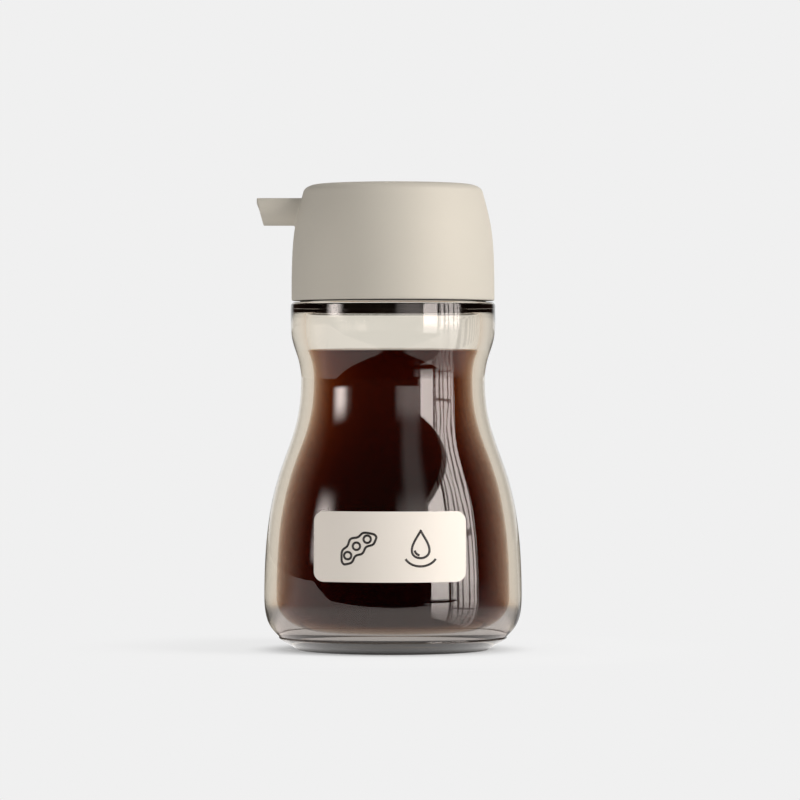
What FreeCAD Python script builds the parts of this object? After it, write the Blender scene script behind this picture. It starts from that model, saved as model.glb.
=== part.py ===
import FreeCAD, Part
import os
import re
import Sketcher

# A small table cruet for soy sauce: a clear pressed-glass bottle with a wide belly, a waist and a
# straight collar, the sauce in it, a hollow plastic cap that slips over the bottle's neck and pours
# through a short side spout, and a small label on the belly.
# The frame: Z is the bottle's axis, z = 0 is the face it stands on, the spout points along -X and
# the label faces -Y. Lengths are in millimetres, angles in degrees.

SIZES = [
    # The outside of the bottle, from the foot up. A "reach" is how far a curve's handle stands off
    # its end, so it says how slowly the curve leaves that end.
    ("foot_edge", 0.5, "rounding of the edge of the face it stands on"),
    ("foot_inset", 4.3, "how far that face lies inside the heel"),
    ("heel_height", 2.6, "height where the sloping foot meets the heel"),
    ("heel_step", 0.4, "short upright step above that meeting line"),
    ("heel_inset", 3.3, "how far the heel's start lies inside the widest radius"),
    ("heel_reach", 1.7, "reach of the heel curve at the step, up and out"),
    ("belly_radius", 28.8, "widest radius of the bottle"),
    ("belly_height", 12.0, "height of the widest radius"),
    ("belly_drop", 6.0, "reach of the heel curve below the widest radius"),
    ("belly_rise", 32.0, "reach of the belly curve above the widest radius"),
    ("belly_length", 48.4, "height from the widest radius to the waist"),
    ("waist_radius", 20.6, "radius of the waist"),
    ("waist_drop", 17.6, "reach of the belly curve below the waist"),
    ("waist_rise", 5.8, "reach of the collar curve above the waist"),
    ("flare_length", 12.4, "height from the waist to the straight collar"),
    ("collar_radius", 22.9, "radius of the straight collar"),
    ("collar_drop", 5.5, "reach of the collar curve below the straight part"),
    ("collar_length", 4.8, "height of the straight collar"),
    ("shoulder_edge", 0.7, "rounding of the shoulder's outer edge"),
    # The inside of the bottle and what fills it.
    ("wall", 3.2, "thickness of the glass at the sides"),
    ("floor_thickness", 4.2, "thickness of the glass under the sauce"),
    ("floor_inset", 7.6, "how far the floor's flat part lies inside the cavity's widest radius"),
    ("floor_reach", 4.4, "reach of the curve out of that flat part"),
    ("shoulder_thickness", 2.7, "how far below the shoulder the inside starts to draw in"),
    ("headspace", 7.8, "height of the air above the sauce, up to where the glass draws in"),
    ("throat_length", 2.0, "height above the shoulder where the inside has drawn in to the neck"),
    ("throat_rise", 1.2, "reach of that curve above the headspace"),
    ("throat_drop", 1.4, "reach of that curve below its upper end"),
    ("throat_lean", 0.4, "how far that reach leans outwards"),
    # The cap and the neck that it slips over.
    ("cap_gap", 0.4, "open line between the bottle's shoulder and the cap"),
    ("cap_inset", 0.2, "how far the cap's skirt lies inside the collar"),
    ("cap_length", 26.0, "height of the cap"),
    ("skirt_length", 2.2, "height of the skirt's straight part"),
    ("skirt_rise", 12.9, "reach of the dome curve above the straight part"),
    ("dome_fall", 1.6, "how far below the top the dome turns into it"),
    ("dome_draw", 2.65, "how far the dome has drawn in there"),
    ("dome_drop", 6.8, "reach of the dome curve below that turn"),
    ("dome_lean", 1.85, "how far that reach leans outwards"),
    ("top_draw", 5.7, "how far the edge of the flat top lies inside the skirt"),
    ("skirt_edge", 0.4, "rounding of the skirt's lower edge"),
    ("cap_wall", 1.8, "thickness of the skirt"),
    ("top_thickness", 2.2, "thickness of the top plate"),
    ("ledge_width", 2.5, "width of the ledge inside the cap that sits on the neck's rim"),
    ("neck_clearance", 0.15, "play between the neck and the skirt"),
    ("neck_wall", 3.1, "thickness of the neck's glass"),
    ("rim_drop", 1.0, "how far the neck's rim lies below the spout"),
    ("lip_edge", 0.8, "rounding of the rim's outer edge"),
    # The spout and the air hole.
    ("spout_radius", 3.1, "outer radius of the spout"),
    ("spout_bore", 1.7, "radius of the spout's bore"),
    ("drip_bore", 0.9, "radius of the drip hole that the bore narrows to at its root"),
    ("drip_length", 2.0, "length of that drip hole through the cap's wall"),
    ("spout_drop", 6.1, "how far the spout's axis lies below the cap's top"),
    ("spout_length", 7.8, "how far the spout's tip stands out past the skirt"),
    ("spout_slant", 1.5, "how much shorter the spout is at its underside"),
    ("vent_offset", 4.7, "distance from the bottle's axis to the air hole"),
    ("vent_radius", 1.2, "radius of the raised ring round the air hole"),
    ("vent_rise", 0.2, "height of that ring"),
    ("vent_bore", 0.5, "radius of the air hole"),
    # The label.
    ("label_width", 33.3, "width of the label as seen from the front"),
    ("label_rise", 4.2, "height of the label's lower edge above the widest radius"),
    ("label_height", 15.4, "height of the label itself"),
    ("label_corner", 2.2, "radius of the label's corners"),
    ("label_thickness", 0.15, "thickness of the label"),
    ("label_turn", 1.6, "turn of the label round the bottle, towards the spout"),
]

# Heights and radii that follow from the sizes, as expressions on the sheet.
HEEL_RADIUS = "(belly_radius - heel_inset)"
FOOT_RADIUS = f"({HEEL_RADIUS} - foot_inset)"
WAIST = "(belly_height + belly_length)"
COLLAR = f"({WAIST} + flare_length)"
SHOULDER = f"({COLLAR} + collar_length)"
CEILING = f"({SHOULDER} - shoulder_thickness)"
THROAT = f"({SHOULDER} + throat_length)"
SAUCE_LEVEL = f"({CEILING} - headspace)"
CAVITY_RADIUS = "(belly_radius - wall)"
FLOOR_RADIUS = f"({CAVITY_RADIUS} - floor_inset)"
CAP_RADIUS = "(collar_radius - cap_inset)"
SKIRT_INSIDE = f"({CAP_RADIUS} - cap_wall)"
CAP_BOTTOM = f"({SHOULDER} + cap_gap)"
CAP_TOP = f"({CAP_BOTTOM} + cap_length)"
DOME_RADIUS = f"({CAP_RADIUS} - dome_draw)"
DOME = f"({CAP_TOP} - dome_fall)"
TOP_RADIUS = f"({CAP_RADIUS} - top_draw)"
TOP_INSIDE = f"({CAP_TOP} - top_thickness)"
SPOUT_AXIS = f"({CAP_TOP} - spout_drop)"
SPOUT_REACH = f"({CAP_RADIUS} + spout_length)"
NECK_RIM = f"({SPOUT_AXIS} - spout_radius - rim_drop)"
NECK_RADIUS = f"({SKIRT_INSIDE} - neck_clearance)"
BORE_RADIUS = f"({NECK_RADIUS} - neck_wall)"
CHAMBER_RADIUS = f"({SKIRT_INSIDE} - ledge_width)"
LABEL_BOTTOM = "(belly_height + label_rise)"

# A quarter circle is drawn as one cubic curve whose handles reach this share of its radius.
ROUND_REACH = 0.5523

doc = FreeCAD.newDocument("SoySauceCruet")


# ---------------------------------------------------------------- sizes

def make_sheet():
    """The spreadsheet that holds every driving size under its own alias."""
    sheet = doc.addObject("Spreadsheet::Sheet", "Sizes")
    for row, (alias, value, meaning) in enumerate(SIZES, start=1):
        sheet.set(f"A{row}", meaning)
        sheet.set(f"B{row}", str(value))
        sheet.setAlias(f"B{row}", alias)
    doc.recompute()
    return sheet


sheet = make_sheet()


def sized(text):
    """An expression on the sheet, from one written with bare aliases."""
    return re.sub(r"[a-z_]+", r"Sizes.\g<0>", text)


def size(text):
    """The number that such an expression gives now."""
    return float(sheet.evalExpression(sized(text)))


# ---------------------------------------------------------------- sketches

def new_body(name):
    """An empty body whose label names its file."""
    body = doc.addObject("PartDesign::Body", name)
    body.Label = name
    body.Placement = FreeCAD.Placement()
    return body


def new_sketch(body, name, role, offset="0"):
    """A sketch on one of the body's own origin planes, moved along its normal by offset."""
    sketch = body.newObject("Sketcher::SketchObject", name)
    plane = next(item for item in body.Origin.OriginFeatures if item.Role == role)
    sketch.AttachmentSupport = [(plane, "")]
    sketch.MapMode = "FlatFace"
    if offset != "0":
        sketch.setExpression("AttachmentOffset.Base.z", sized(offset))
    return sketch


def pin(sketch, item, point, place):
    """Hold a point of the sketch at sheet-driven distances from the sketch's origin."""
    for kind, axis, text in (("DistanceX", -2, place[0]), ("DistanceY", -1, place[1])):
        if text == "0":
            sketch.addConstraint(Sketcher.Constraint("PointOnObject", item, point, axis))
        else:
            held = Sketcher.Constraint(kind, -1, 1, item, point, size(text))
            number = sketch.addConstraint(held)
            sketch.setExpression(f"Constraints[{number}]", sized(text))


def spot(place):
    """The sketch point that a pair of expressions stands for."""
    return FreeCAD.Vector(size(place[0]), size(place[1]), 0)


def draw_outline(sketch, start, steps):
    """A closed outline: each step is an end point, after the two handles of a curve if it has them."""
    here = start
    ends = []
    for step in steps:
        handles, there = step[:-1], step[-1]
        if handles:
            poles = [spot(place) for place in (here, *handles, there)]
            curve = Part.BSplineCurve(poles, None, None, False, 3, None, False)
            item = sketch.addGeometry(curve)
        else:
            item = sketch.addGeometry(Part.LineSegment(spot(here), spot(there)))
        ends.append((item, handles, there))
        here = there
    for number, (item, handles, there) in enumerate(ends):
        follower = ends[(number + 1) % len(ends)][0]
        sketch.addConstraint(Sketcher.Constraint("Coincident", item, 2, follower, 1))
        pin(sketch, item, 2, there)
    for item, handles, there in ends:
        if handles:
            first_pole = sketch.GeometryCount
            sketch.exposeInternalGeometry(item)
            for number, place in enumerate(handles, start=1):
                pin(sketch, first_pole + number, 3, place)


def draw_circle(sketch, radius, centre):
    """A circle whose radius and centre come from the sheet."""
    item = sketch.addGeometry(Part.Circle(spot(centre), FreeCAD.Vector(0, 0, 1), size(radius)))
    number = sketch.addConstraint(Sketcher.Constraint("Radius", item, size(radius)))
    sketch.setExpression(f"Constraints[{number}]", sized(radius))
    pin(sketch, item, 3, centre)


def draw_rectangle(sketch, half_width, low, high, corner="0"):
    """An upright rectangle centred on the sketch's Y axis, with round corners if it has any."""
    left, right = f"-({half_width})", half_width
    if corner == "0":
        draw_outline(sketch, (left, low),
                     [((right, low),), ((right, high),), ((left, high),), ((left, low),)])
        return
    inset, reach = corner, f"{corner} * (1 - {ROUND_REACH})"
    draw_outline(sketch, (f"{left} + {inset}", low), [
        ((f"{right} - {inset}", low),),
        ((f"{right} - {reach}", low), (right, f"{low} + {reach}"), (right, f"{low} + {inset}")),
        ((right, f"{high} - {inset}"),),
        ((right, f"{high} - {reach}"), (f"{right} - {reach}", high), (f"{right} - {inset}", high)),
        ((f"{left} + {inset}", high),),
        ((f"{left} + {reach}", high), (left, f"{high} - {reach}"), (left, f"{high} - {inset}")),
        ((left, f"{low} + {inset}"),),
        ((left, f"{low} + {reach}"), (f"{left} + {reach}", low), (f"{left} + {inset}", low)),
    ])


# ---------------------------------------------------------------- features

def volume_of(body):
    """The body's volume after everything has been worked out again."""
    doc.recompute()
    return body.Shape.Volume


def turn(body, kind, name, sketch):
    """A full turn of the sketch round the bottle's axis, as a Revolution or a Groove."""
    feature = body.newObject(f"PartDesign::{kind}", name)
    feature.Profile = (sketch, [""])
    feature.ReferenceAxis = (sketch, ["V_Axis"])
    feature.Angle = 360.0
    doc.recompute()
    return feature


def push(body, kind, name, sketch, length, backwards=False, both_ways=False):
    """A straight Pad or Pocket of the sketch."""
    feature = body.newObject(f"PartDesign::{kind}", name)
    feature.Profile = (sketch, [""])
    feature.Reversed = backwards
    feature.Midplane = both_ways
    feature.setExpression("Length", sized(length))
    doc.recompute()
    return feature


def must_cut(body, before, name):
    """Stop if the feature just made left the body as large as it was."""
    if volume_of(body) > before - 1e-3:
        raise RuntimeError(f"{name} cut nothing")


def ring_edges(feature, radius, height):
    """The names of the feature's circular edges with this radius at this height."""
    names = []
    for number, edge in enumerate(feature.Shape.Edges, start=1):
        curve = edge.Curve
        if isinstance(curve, Part.Circle):
            near = abs(curve.Radius - size(radius)) < 1e-4
            if near and abs(curve.Center.z - size(height)) < 1e-4:
                names.append(f"Edge{number}")
    return names


def round_ring(body, name, base, radius, height, rounding):
    """A fillet on one circular edge of the base feature."""
    edges = ring_edges(base, radius, height)
    if not edges:
        raise RuntimeError(f"{name} found no edge")
    fillet = body.newObject("PartDesign::Fillet", name)
    fillet.Base = (base, edges)
    fillet.setExpression("Radius", sized(rounding))
    doc.recompute()
    return fillet


# ---------------------------------------------------------------- outlines

def outside_steps(extra="0"):
    """The bottle's outside from the foot to the top of the collar, grown outwards by extra."""
    foot, heel, belly, waist, collar = (
        f"{radius} + {extra}"
        for radius in (FOOT_RADIUS, HEEL_RADIUS, "belly_radius", "waist_radius", "collar_radius")
    )
    step_top = "heel_height + heel_step"
    return [
        ((foot, "0"),),
        ((heel, "heel_height"),),
        ((heel, step_top),),
        ((f"{heel} + heel_reach", f"{step_top} + heel_reach"),
         (belly, "belly_height - belly_drop"),
         (belly, "belly_height")),
        ((belly, "belly_height + belly_rise"), (waist, f"{WAIST} - waist_drop"), (waist, WAIST)),
        ((waist, f"{WAIST} + waist_rise"), (collar, f"{COLLAR} - collar_drop"), (collar, COLLAR)),
        ((collar, SHOULDER),),
    ]


def cavity_steps():
    """The glass's inside from the floor's flat part to where it draws in under the shoulder."""
    belly, waist, collar = CAVITY_RADIUS, "waist_radius - wall", "collar_radius - wall"
    return [
        ((FLOOR_RADIUS, "floor_thickness"),),
        ((f"{FLOOR_RADIUS} + floor_reach", "floor_thickness"),
         (belly, "belly_height - belly_drop"),
         (belly, "belly_height")),
        ((belly, "belly_height + belly_rise"), (waist, f"{WAIST} - waist_drop"), (waist, WAIST)),
        ((waist, f"{WAIST} + waist_rise"), (collar, f"{COLLAR} - collar_drop"), (collar, COLLAR)),
        ((collar, CEILING),),
    ]


# ---------------------------------------------------------------- pieces

def make_bottle():
    """The glass: a turned outside, the cavity and the neck's bore taken out, and rounded edges."""
    body = new_body("bottle")
    outside = new_sketch(body, "bottle_outside", "XZ_Plane")
    draw_outline(outside, ("0", "0"), [
        *outside_steps(),
        ((NECK_RADIUS, SHOULDER),),
        ((NECK_RADIUS, NECK_RIM),),
        (("0", NECK_RIM),),
        (("0", "0"),),
    ])
    turned = turn(body, "Revolution", "bottle_turned", outside)
    turned = round_ring(body, "foot_rounding", turned, FOOT_RADIUS, "0", "foot_edge")
    turned = round_ring(body, "shoulder_rounding", turned, "collar_radius", SHOULDER, "shoulder_edge")
    round_ring(body, "lip_rounding", turned, NECK_RADIUS, NECK_RIM, "lip_edge")
    before = volume_of(body)
    inside = new_sketch(body, "bottle_inside", "XZ_Plane")
    draw_outline(inside, ("0", "floor_thickness"), [
        *cavity_steps(),
        (("collar_radius - wall", f"{CEILING} + throat_rise"),
         (f"{BORE_RADIUS} + throat_lean", f"{THROAT} - throat_drop"),
         (BORE_RADIUS, THROAT)),
        ((BORE_RADIUS, NECK_RIM),),
        (("0", NECK_RIM),),
        (("0", "floor_thickness"),),
    ])
    turn(body, "Groove", "bottle_cavity", inside)
    must_cut(body, before, "bottle_cavity")
    return body


def make_sauce():
    """The sauce: all of the cavity below the sauce's level, so its sides lie on the glass."""
    body = new_body("soy_sauce")
    filling = new_sketch(body, "sauce_filling", "XZ_Plane")
    draw_outline(filling, ("0", "floor_thickness"), [
        *cavity_steps(),
        (("0", CEILING),),
        (("0", "floor_thickness"),),
    ])
    turn(body, "Revolution", "sauce_turned", filling)
    before = volume_of(body)
    level = new_sketch(body, "sauce_level", "XY_Plane", SAUCE_LEVEL)
    draw_circle(level, "belly_radius", ("0", "0"))
    push(body, "Pocket", "sauce_cut", level, "2 * headspace", backwards=True)
    must_cut(body, before, "sauce_cut")
    return body


def cap_steps():
    """The cap's section: up the skirt, over the dome, and back down inside by way of the ledge."""
    corner = "dome_fall * 0.6"
    return [
        ((CAP_RADIUS, f"{CAP_BOTTOM} + skirt_length"),),
        ((CAP_RADIUS, f"{CAP_BOTTOM} + skirt_length + skirt_rise"),
         (f"{DOME_RADIUS} + dome_lean", f"{DOME} - dome_drop"),
         (DOME_RADIUS, DOME)),
        ((f"{DOME_RADIUS} - dome_lean / dome_drop * {corner}", f"{DOME} + {corner}"),
         (f"{TOP_RADIUS} + ({DOME_RADIUS} - {TOP_RADIUS}) * 0.4", CAP_TOP),
         (TOP_RADIUS, CAP_TOP)),
        (("0", CAP_TOP),),
        (("0", TOP_INSIDE),),
        ((CHAMBER_RADIUS, TOP_INSIDE),),
        ((CHAMBER_RADIUS, NECK_RIM),),
        ((SKIRT_INSIDE, NECK_RIM),),
        ((SKIRT_INSIDE, CAP_BOTTOM),),
        ((CAP_RADIUS, CAP_BOTTOM),),
    ]


def add_spout(body):
    """A round side tube, cut off at a slant, with a bore that ends in a drip hole into the cap."""
    root = f"({CHAMBER_RADIUS} + drip_length)"
    tube = new_sketch(body, "spout_round", "YZ_Plane", f"-{root}")
    draw_circle(tube, "spout_radius", ("0", SPOUT_AXIS))
    push(body, "Pad", "spout", tube, f"{SPOUT_REACH} - {root}", backwards=True)
    before = volume_of(body)
    slant = new_sketch(body, "spout_slant_side", "XZ_Plane")
    low, high = f"{SPOUT_AXIS} - spout_radius", f"{SPOUT_AXIS} + spout_radius"
    draw_outline(slant, (f"-{SPOUT_REACH}", high), [
        ((f"spout_slant - {SPOUT_REACH}", low),),
        ((f"-{SPOUT_REACH} - spout_radius", low),),
        ((f"-{SPOUT_REACH} - spout_radius", high),),
        ((f"-{SPOUT_REACH}", high),),
    ])
    push(body, "Pocket", "spout_tip", slant, "4 * spout_radius", both_ways=True)
    must_cut(body, before, "spout_tip")
    to_root = f"{SPOUT_REACH} - {root}"
    for radius, depth in (("spout_bore", to_root), ("drip_bore", f"{to_root} + 2 * drip_length")):
        before = volume_of(body)
        bore = new_sketch(body, f"{radius}_round", "YZ_Plane", f"-{SPOUT_REACH}")
        draw_circle(bore, radius, ("0", SPOUT_AXIS))
        push(body, "Pocket", f"{radius}_hole", bore, depth, backwards=True)
        must_cut(body, before, radius)


def add_vent(body):
    """A small raised ring on the top with the air hole through it."""
    ring = new_sketch(body, "vent_ring_round", "XY_Plane", CAP_TOP)
    draw_circle(ring, "vent_radius", ("-vent_offset", "0"))
    push(body, "Pad", "vent_ring", ring, "vent_rise")
    before = volume_of(body)
    hole = new_sketch(body, "vent_hole_round", "XY_Plane", f"{CAP_TOP} + vent_rise")
    draw_circle(hole, "vent_bore", ("-vent_offset", "0"))
    push(body, "Pocket", "vent_hole", hole, "vent_rise + top_thickness")
    must_cut(body, before, "vent_hole")


def make_cap():
    """The cap: a domed shell with a ledge inside for the neck's rim, the spout and the air hole."""
    body = new_body("cap")
    shell = new_sketch(body, "cap_shell", "XZ_Plane")
    draw_outline(shell, (CAP_RADIUS, CAP_BOTTOM), cap_steps())
    turned = turn(body, "Revolution", "cap_turned", shell)
    round_ring(body, "skirt_rounding", turned, CAP_RADIUS, CAP_BOTTOM, "skirt_edge")
    add_spout(body)
    add_vent(body)
    return body


def make_label():
    """The label: a skin on the belly, cut to a rounded rectangle as seen from the front."""
    body = new_body("label")
    over = new_sketch(body, "label_over", "XZ_Plane")
    draw_outline(over, ("0", "0"), [*outside_steps("label_thickness"), (("0", SHOULDER),), (("0", "0"),)])
    turn(body, "Revolution", "label_skin", over)
    before = volume_of(body)
    under = new_sketch(body, "label_under", "XZ_Plane")
    draw_outline(under, ("0", "0"), [*outside_steps(), (("0", SHOULDER),), (("0", "0"),)])
    turn(body, "Groove", "label_back", under)
    must_cut(body, before, "label_back")

    # What is left is a skin all round the bottle. First its far half goes, then all of the near
    # half that lies outside the rounded rectangle.
    all_round = "belly_radius + 2 * label_thickness"
    skin_low, skin_high = "-label_thickness", f"{SHOULDER} + label_thickness"
    before = volume_of(body)
    far_half = new_sketch(body, "label_far_half", "XZ_Plane")
    draw_rectangle(far_half, all_round, skin_low, skin_high)
    push(body, "Pocket", "label_front", far_half, all_round)
    must_cut(body, before, "label_front")
    before = volume_of(body)
    edge = new_sketch(body, "label_edge", "XZ_Plane")
    draw_rectangle(edge, all_round, skin_low, skin_high)
    draw_rectangle(edge, "label_width / 2", LABEL_BOTTOM, f"{LABEL_BOTTOM} + label_height",
                   "label_corner")
    push(body, "Pocket", "label_cut", edge, all_round, backwards=True)
    must_cut(body, before, "label_cut")
    body.Placement = FreeCAD.Placement(FreeCAD.Vector(), FreeCAD.Rotation(FreeCAD.Vector(0, 0, 1), 1))
    body.setExpression("Placement.Rotation.Angle", sized("-label_turn"))
    return body


def finish(bodies):
    """Check every object and write each body to its own file."""
    doc.recompute()
    for item in doc.Objects:
        if "Invalid" in item.State or "Error" in item.State:
            raise RuntimeError(f"{item.Name} failed: {item.State}")
    for body in bodies:
        shape = body.Shape
        if shape.isNull() or not shape.isValid():
            raise RuntimeError(f"{body.Label} has no valid shape")
    os.makedirs("parts", exist_ok=True)
    for body in bodies:
        body.Shape.exportStep(f"parts/{body.Label}.step")
        print(body.Label, "volume", round(body.Shape.Volume, 1), "solids", len(body.Shape.Solids))


finish([make_bottle(), make_sauce(), make_cap(), make_label()])
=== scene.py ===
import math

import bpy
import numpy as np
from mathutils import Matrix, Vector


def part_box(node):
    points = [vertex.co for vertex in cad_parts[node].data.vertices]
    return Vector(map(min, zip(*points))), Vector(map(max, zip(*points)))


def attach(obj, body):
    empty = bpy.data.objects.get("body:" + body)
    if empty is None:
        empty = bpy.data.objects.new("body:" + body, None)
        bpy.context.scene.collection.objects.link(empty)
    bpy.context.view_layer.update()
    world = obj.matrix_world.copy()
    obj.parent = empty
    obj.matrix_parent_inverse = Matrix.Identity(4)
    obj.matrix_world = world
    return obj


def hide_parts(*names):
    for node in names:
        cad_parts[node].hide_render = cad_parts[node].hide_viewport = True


bl_info = {
    "name": "Soy Sauce Cruet",
    "version": (1, 0, 0),
    "blender": (4, 5, 0),
    "location": "3D View > Sidebar > Cruet",
    "description": "Builds the visible pieces of a glass soy sauce cruet around its packed frame",
    "category": "Add Mesh",
}

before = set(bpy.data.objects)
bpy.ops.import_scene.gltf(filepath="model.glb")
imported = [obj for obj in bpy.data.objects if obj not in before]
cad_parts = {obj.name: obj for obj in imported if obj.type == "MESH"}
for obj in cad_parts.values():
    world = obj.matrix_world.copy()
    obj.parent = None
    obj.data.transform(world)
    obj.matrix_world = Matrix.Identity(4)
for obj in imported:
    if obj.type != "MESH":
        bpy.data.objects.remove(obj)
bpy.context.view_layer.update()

# Lengths are in metres. Z is the bottle's axis, the spout points along -X, the label faces -Y.
MM = 0.001
BOTTLE_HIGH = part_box("bottle")[1]
SAUCE_LOW, SAUCE_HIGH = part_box("soy_sauce")
CAP_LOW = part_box("cap")[0]
LABEL_LOW, LABEL_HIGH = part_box("label")

TURNS = 192          # steps round the bottle's axis
CURVE_STEPS = 40     # steps along a long curve of an outline
EDGE_STEPS = 6       # steps round a small rounded edge

STEP_FOOT_EDGE = 0.15 * MM    # roundings of the two corners of the heel's small step
STEP_HEAD_EDGE = 0.1 * MM
NECK_ROOT = 0.3 * MM          # rounding in the corner between shoulder and neck
BORE_EDGE = 0.4 * MM          # rounding of the neck's rim towards its bore
THROAT_LEAN = 0.4 * MM        # how far the throat curve's handles stand aside from its two ends
THROAT_DRAW = 0.25 * MM
CLIMB_WIDTH = 0.55 * MM       # width over which the sauce's surface sinks from the glass
PLATE_EDGE = 0.5 * MM         # roundings inside the cap: under the top plate, and of its ledge
LEDGE_EDGE = 0.15 * MM
LEDGE_CORNER = 0.3 * MM
DOME_TURN = 0.6               # reach of the curve onto the cap's top, as a part of the dome's fall
TOP_REACH = 0.4               # and where it comes level with the top, as a part of its width
RING_GAP = 0.1 * MM           # kept between the rings on a flat and the rounding they run to
VENT_FOOT = 0.05 * MM         # rounding at the foot of the ring round the air hole
VENT_EDGE = 0.08 * MM         # and of its upper edges
SPOUT_SUNK = 0.25 * MM        # how deep the spout's root is sunk in the dome
SPOUT_END_WALL = 0.5 * MM     # thickness of the spout's wall where its bore ends
DRILL_PLAY = 0.15 * MM        # how much wider than the spout's bore its drill is
DRILL_START = 24.0 * MM       # where the drill starts and ends, as distances from the axis
DRILL_END = 16.0 * MM
LABEL_SUNK = 0.02 * MM        # how deep the label's back and a printed line's edges are sunk
LINE_SUNK = 0.03 * MM
LINE_PROUD = 0.02 * MM        # how far a printed line stands proud of the label


def shade(red, green, blue):
    """The scene's own value for a colour given as a screen shows it, each part from 0 to 255."""
    seen = np.array((red, green, blue)) / 255
    linear = np.where(seen <= 0.04045, seen / 12.92, ((seen + 0.055) / 1.055) ** 2.4)
    return tuple(float(part) for part in linear)


def length(value, name, description):
    """A property that holds a length in metres."""
    return bpy.props.FloatProperty(
        name=name, description=description, default=value, unit="LENGTH", subtype="DISTANCE",
        precision=5)


def colour(value, name, description):
    """A property that holds a colour."""
    return bpy.props.FloatVectorProperty(
        name=name, description=description, default=value, subtype="COLOR", min=0.0, max=1.0)


class BottleSizes(bpy.types.PropertyGroup):
    """The outline of the glass. A reach says how far a curve's handle stands off its end."""

    foot_edge: length(0.5 * MM, "Foot edge", "Rounding of the edge it stands on")
    foot_radius: length(21.2 * MM, "Foot radius", "Radius of the face it stands on")
    heel_radius: length(25.5 * MM, "Heel radius", "Radius where the foot meets the heel")
    heel_height: length(2.6 * MM, "Heel height", "Height where the foot meets the heel")
    heel_step: length(0.4 * MM, "Heel step", "Upright step above the foot")
    heel_reach: length(1.7 * MM, "Heel reach", "Reach of the heel curve, up and out")
    belly_radius: length(BOTTLE_HIGH[0], "Belly radius", "Widest radius of the glass")
    belly_height: length(12.0 * MM, "Belly height", "Height of the widest radius")
    belly_drop: length(6.0 * MM, "Belly drop", "Reach of the heel curve below the belly")
    belly_rise: length(32.0 * MM, "Belly rise", "Reach of the belly curve above the belly")
    waist_radius: length(20.6 * MM, "Waist radius", "Radius of the waist")
    waist_height: length(60.4 * MM, "Waist height", "Height of the waist")
    waist_drop: length(17.6 * MM, "Waist drop", "Reach of the belly curve below the waist")
    waist_rise: length(5.8 * MM, "Waist rise", "Reach of the collar curve above the waist")
    collar_radius: length(22.9 * MM, "Collar radius", "Radius of the straight collar")
    collar_height: length(72.8 * MM, "Collar height", "Height where the collar becomes straight")
    collar_drop: length(5.5 * MM, "Collar drop", "Reach of the collar curve below that")
    shoulder_height: length(77.6 * MM, "Shoulder height", "Height of the flat shoulder")
    shoulder_edge: length(0.7 * MM, "Shoulder edge", "Rounding of the shoulder's outer edge")
    neck_radius: length(20.75 * MM, "Neck radius", "Outer radius of the neck inside the cap")
    neck_rim: length(BOTTLE_HIGH[2], "Neck rim", "Height of the neck's rim")
    neck_wall: length(3.1 * MM, "Neck wall", "Thickness of the neck's glass")
    lip_edge: length(0.8 * MM, "Lip edge", "Rounding of the neck's rim")
    ceiling_height: length(74.9 * MM, "Ceiling", "Height of the glass above the headspace")
    throat_height: length(79.6 * MM, "Throat", "Height where the inside has drawn in to the neck")
    throat_rise: length(0.9 * MM, "Throat rise", "Reach of that curve above the headspace")
    throat_drop: length(1.4 * MM, "Throat drop", "Reach of that curve below the neck")
    floor_height: length(SAUCE_LOW[2], "Floor height", "Height of the cavity's floor")
    floor_radius: length(18.0 * MM, "Floor radius", "Radius of the floor's flat part")
    floor_reach: length(4.4 * MM, "Floor reach", "Reach of the curve out of the floor")
    wall: length(BOTTLE_HIGH[0] - SAUCE_HIGH[0], "Wall", "Thickness of the glass at the sides")
    colour: colour((0.70, 0.60, 0.45), "Clear colour", "Colour that thick glass lets through")
    density: bpy.props.FloatProperty(
        name="Density", description="How strongly a metre of glass darkens", default=32.0, min=0.0)


class SauceSizes(bpy.types.PropertyGroup):
    """The sauce inside the glass."""

    level: length(SAUCE_HIGH[2], "Level", "Height of the sauce's surface")
    into_wall: length(0.08 * MM, "Into the wall", "How far the sauce reaches into the glass")
    meniscus: length(0.5 * MM, "Meniscus", "How far the surface climbs the glass")
    colour: colour((0.735, 0.54, 0.31), "Clear colour", "Colour that the sauce lets through")
    density: bpy.props.FloatProperty(
        name="Density", description="How strongly a metre of sauce darkens", default=400.0, min=0.0)


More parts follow.
